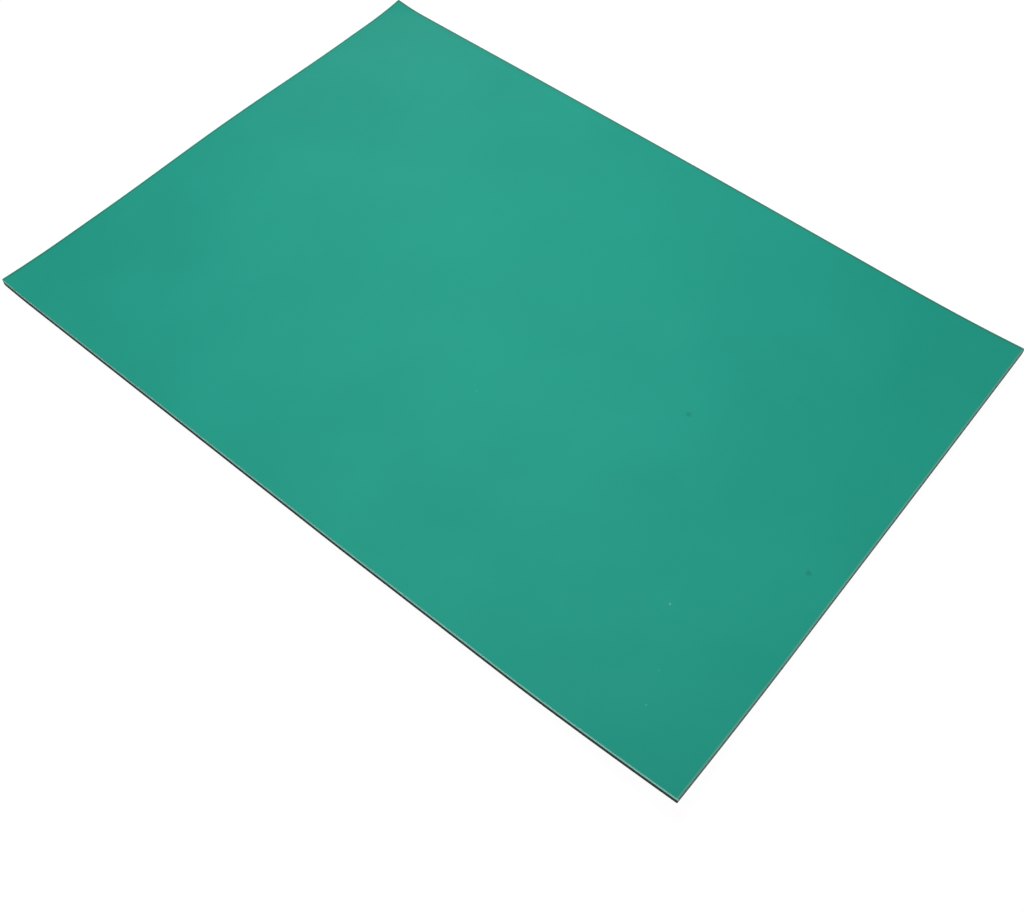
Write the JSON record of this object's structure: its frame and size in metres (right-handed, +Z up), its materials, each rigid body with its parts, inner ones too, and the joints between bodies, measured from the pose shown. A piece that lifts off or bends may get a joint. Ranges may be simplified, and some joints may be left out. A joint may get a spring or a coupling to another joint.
{
  "type": "silicone watchmaker mat",
  "caption": "Flat rectangular silicone bench mat with a green work surface bonded to a black base, one corner curled up.",
  "frame": {"origin": "on the bench under the middle of the mat, at the bottom centre of its box", "axes": "+X along the long edges, +Y along the short edges away from the user, +Z up out of the work surface"},
  "size_m": [0.297, 0.21, 0.0108],
  "materials": {
    "black_silicone": "matte black silicone rubber, plain moulded underside",
    "green_silicone": "smooth matte blue-green silicone rubber with a faint calendered grain"
  },
  "bodies": {
    "root": {"black_base_ply": "black_silicone", "green_surface_ply": "green_silicone"}
  },
  "joints": []
}
